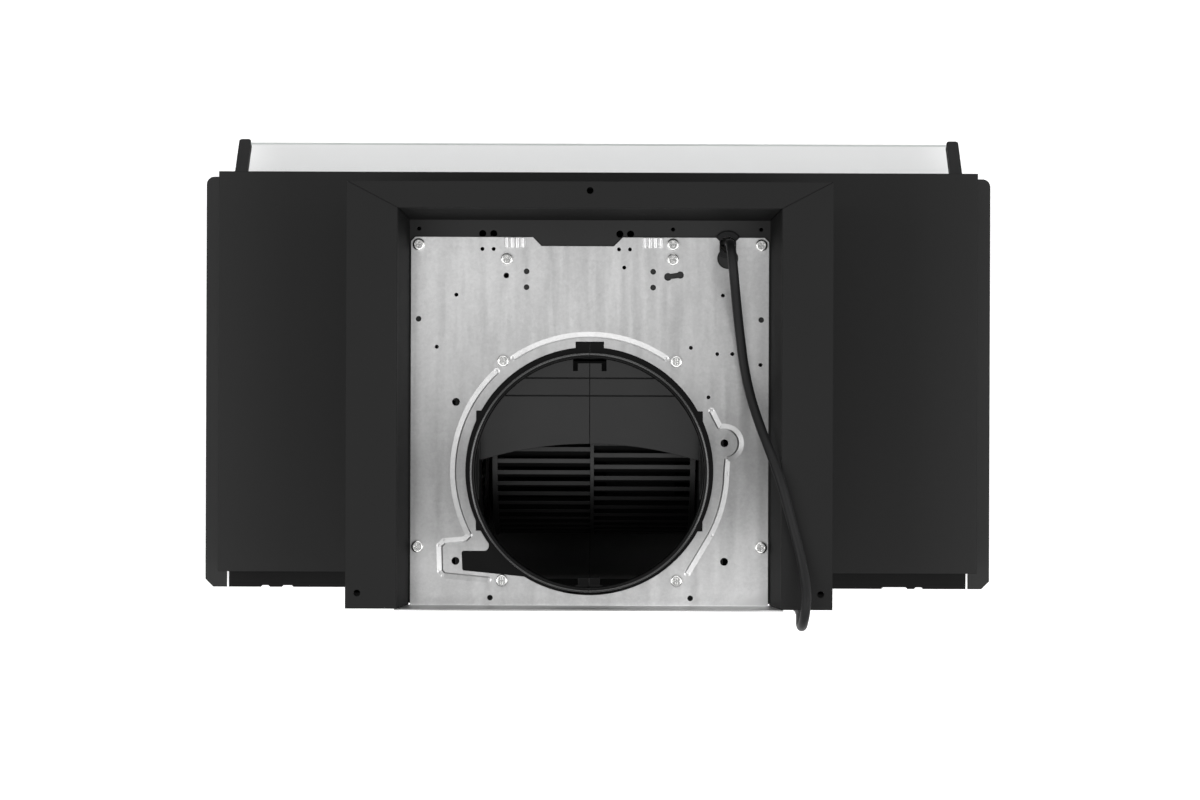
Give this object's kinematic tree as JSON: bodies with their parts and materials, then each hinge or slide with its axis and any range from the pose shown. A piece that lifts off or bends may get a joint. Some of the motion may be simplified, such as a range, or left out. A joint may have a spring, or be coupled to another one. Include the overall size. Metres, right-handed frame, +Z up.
{
  "type": "range hood insert",
  "caption": "Built-in range hood insert: low black canopy with a raised motor box, galvanised outlet plate, tilting glass visor, centrifugal blower, drop-down grease filters and a mains lead.",
  "frame": {"origin": "middle of the hood's bottom, on the plane that its pan stands on", "axes": "+Z up, -Y towards the front with the visor, +Y towards the wall, +X to the right as seen from the front"},
  "size_m": [0.6, 0.3558, 0.2653],
  "materials": {
    "black_paint": "satin powder coat",
    "galvanised": "bare galvanised sheet, mottled",
    "zinc_screw": "zinc plated",
    "visor_glass": "clear, polished edge",
    "black_plastic": "fine grain",
    "housing_plastic": "moulded, fine grain",
    "wheel_plastic": "moulded",
    "motor_steel": "plain",
    "capacitor_case": "plain",
    "board_green": "lacquered board",
    "terminal_white": "plain",
    "cord_rubber": "smooth sheath",
    "brass_pin": "bright",
    "filter_aluminium": "satin",
    "latch_plastic": "fine grain",
    "lamp_trim": "satin",
    "lamp_lens": "frosted"
  },
  "bodies": {
    "hood": {"canopy_shell": "black_paint", "side_rail_left": "black_paint", "side_rail_right": "black_paint", "bottom_pan": "black_paint", "front_panel": "black_paint", "box_side_left": "black_paint", "box_side_right": "black_paint", "box_front": "black_paint", "box_rear": "black_paint", "deck_plate": "black_paint", "terminal_box": "black_paint", "terminal_cover": "black_paint", "motor_bracket": "black_paint", "top_plate": "galvanised", "capacitor_clip": "galvanised", "rail_screws": "zinc_screw", "plate_screws": "zinc_screw", "blower_screws": "zinc_screw", "tab_screws": "zinc_screw", "visor_pins": "zinc_screw", "visor_bracket_left": "black_plastic", "visor_bracket_right": "black_plastic", "control_bezel": "black_plastic", "blower_half_left": "housing_plastic", "blower_half_right": "housing_plastic", "motor_stator": "motor_steel", "motor_bearings": "motor_steel", "motor_can": "motor_steel", "motor_cap": "motor_steel", "run_capacitor": "capacitor_case", "control_board": "board_green", "terminal_block": "terminal_white", "cord_grommet": "cord_rubber", "power_cord": "cord_rubber", "plug_body": "cord_rubber", "plug_pins": "brass_pin", "lamp_ring_left": "lamp_trim", "lamp_ring_right": "lamp_trim", "lamp_lens_left": "lamp_lens", "lamp_lens_right": "lamp_lens"},
    "visor": {"visor_glass": "visor_glass", "visor_arm_left": "black_plastic", "visor_arm_right": "black_plastic"},
    "wheel": {"blower_wheel": "wheel_plastic", "wheel_nut": "zinc_screw", "motor_shaft": "motor_steel", "motor_rotor": "motor_steel"},
    "filter_left": {"filter_frame_left": "filter_aluminium", "filter_mesh_left": "filter_aluminium"},
    "filter_right": {"filter_frame_right": "filter_aluminium", "filter_mesh_right": "filter_aluminium"},
    "latch_left": {"filter_latch_left": "latch_plastic"},
    "latch_right": {"filter_latch_right": "latch_plastic"},
    "button_1": {"push_button_1": "black_plastic"},
    "button_2": {"push_button_2": "black_plastic"},
    "button_3": {"push_button_3": "black_plastic"},
    "button_4": {"push_button_4": "black_plastic"},
    "button_5": {"push_button_5": "black_plastic"}
  },
  "joints": [
    {"name": "visor_tilt", "type": "hinge", "parent": "hood", "child": "visor", "pos_m": [0, -0.13594, 0.053], "axis": [-1, 0, 0], "range_deg": [-48, 40]},
    {"name": "wheel_spin", "type": "hinge", "parent": "hood", "child": "wheel", "pos_m": [0.002, 0.05766, 0.112], "axis": [1, 0, 0], "continuous": true},
    {"name": "filter_left_drop", "type": "hinge", "parent": "hood", "child": "filter_left", "pos_m": [-0.138, 0.13616, 0.004], "axis": [1, 0, 0], "range_deg": [0, 55]},
    {"name": "latch_left_slide", "type": "slide", "parent": "filter_left", "child": "latch_left", "axis": [0, 1, 0], "range_m": [0, 0.006], "stiffness_N_per_m": 150, "springref_m": -0.003},
    {"name": "filter_right_drop", "type": "hinge", "parent": "hood", "child": "filter_right", "pos_m": [0.138, 0.13616, 0.004], "axis": [1, 0, 0], "range_deg": [0, 55]},
    {"name": "latch_right_slide", "type": "slide", "parent": "filter_right", "child": "latch_right", "axis": [0, 1, 0], "range_m": [0, 0.006], "stiffness_N_per_m": 150, "springref_m": -0.003},
    {"name": "button_1_press", "type": "slide", "parent": "hood", "child": "button_1", "axis": [0, 1, 0], "range_m": [0, 0.0015], "stiffness_N_per_m": 400, "springref_m": -0.001},
    {"name": "button_2_press", "type": "slide", "parent": "hood", "child": "button_2", "axis": [0, 1, 0], "range_m": [0, 0.0015], "stiffness_N_per_m": 400, "springref_m": -0.001},
    {"name": "button_3_press", "type": "slide", "parent": "hood", "child": "button_3", "axis": [0, 1, 0], "range_m": [0, 0.0015], "stiffness_N_per_m": 400, "springref_m": -0.001},
    {"name": "button_4_press", "type": "slide", "parent": "hood", "child": "button_4", "axis": [0, 1, 0], "range_m": [0, 0.0015], "stiffness_N_per_m": 400, "springref_m": -0.001},
    {"name": "button_5_press", "type": "slide", "parent": "hood", "child": "button_5", "axis": [0, 1, 0], "range_m": [0, 0.0015], "stiffness_N_per_m": 400, "springref_m": -0.001}
  ]
}
